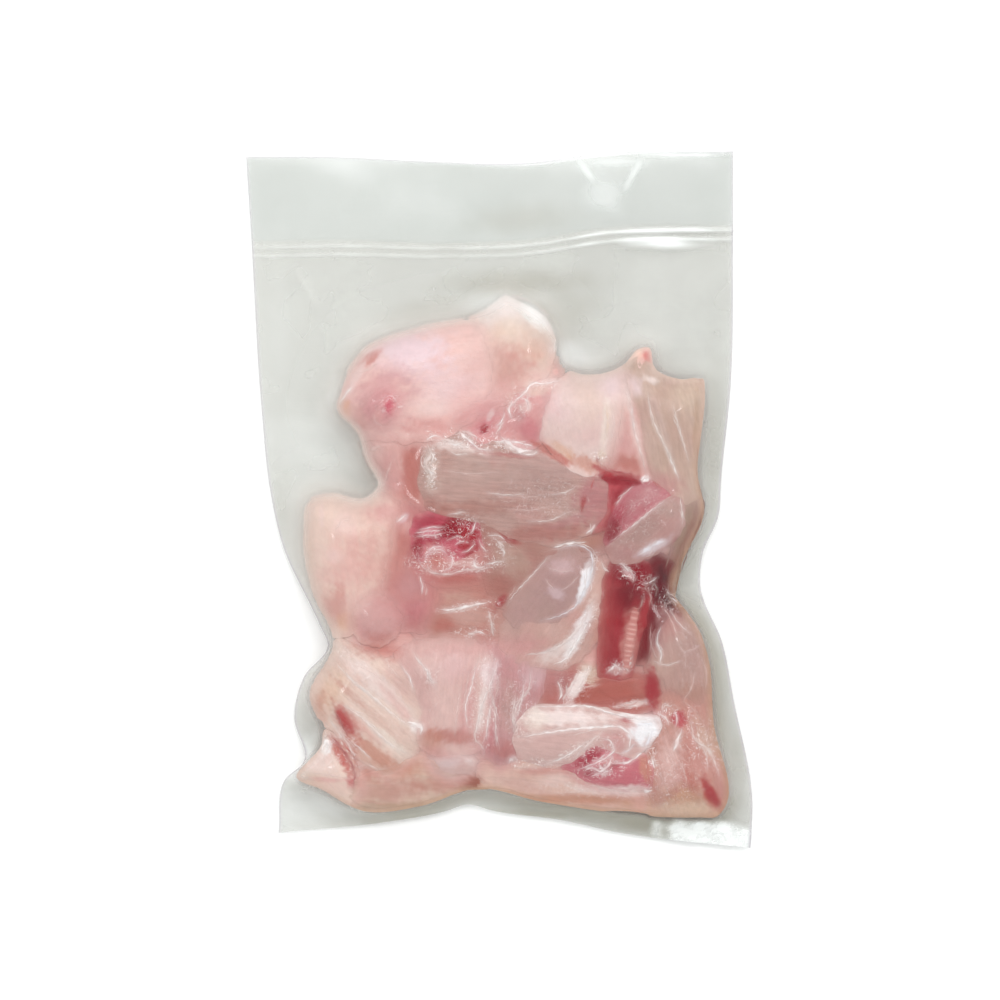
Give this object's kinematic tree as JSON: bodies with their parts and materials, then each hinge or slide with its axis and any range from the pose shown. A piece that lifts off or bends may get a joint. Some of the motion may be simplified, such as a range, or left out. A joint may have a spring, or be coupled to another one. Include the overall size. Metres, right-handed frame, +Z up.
{
  "type": "vacuum pack of grouper chunks",
  "caption": "Clear vacuum-sealed bag of raw grouper chunks lying flat, its film drawn tight over the fish, with a sealed header above it and a thin skirt all round.",
  "frame": {"origin": "middle of the pack's bounding box in plan, on the surface it lies on", "axes": "+Y towards the mouth of the bag, +X to the right of the shown side, +Z up out of the shown side"},
  "size_m": [0.2091, 0.288, 0.0279],
  "materials": {
    "fish_in_film": "wet raw fish under clear glossy film",
    "film": "clear, slightly hazy, glossy"
  },
  "bodies": {
    "root": {"grouper_pack": "fish_in_film"}
  },
  "joints": []
}
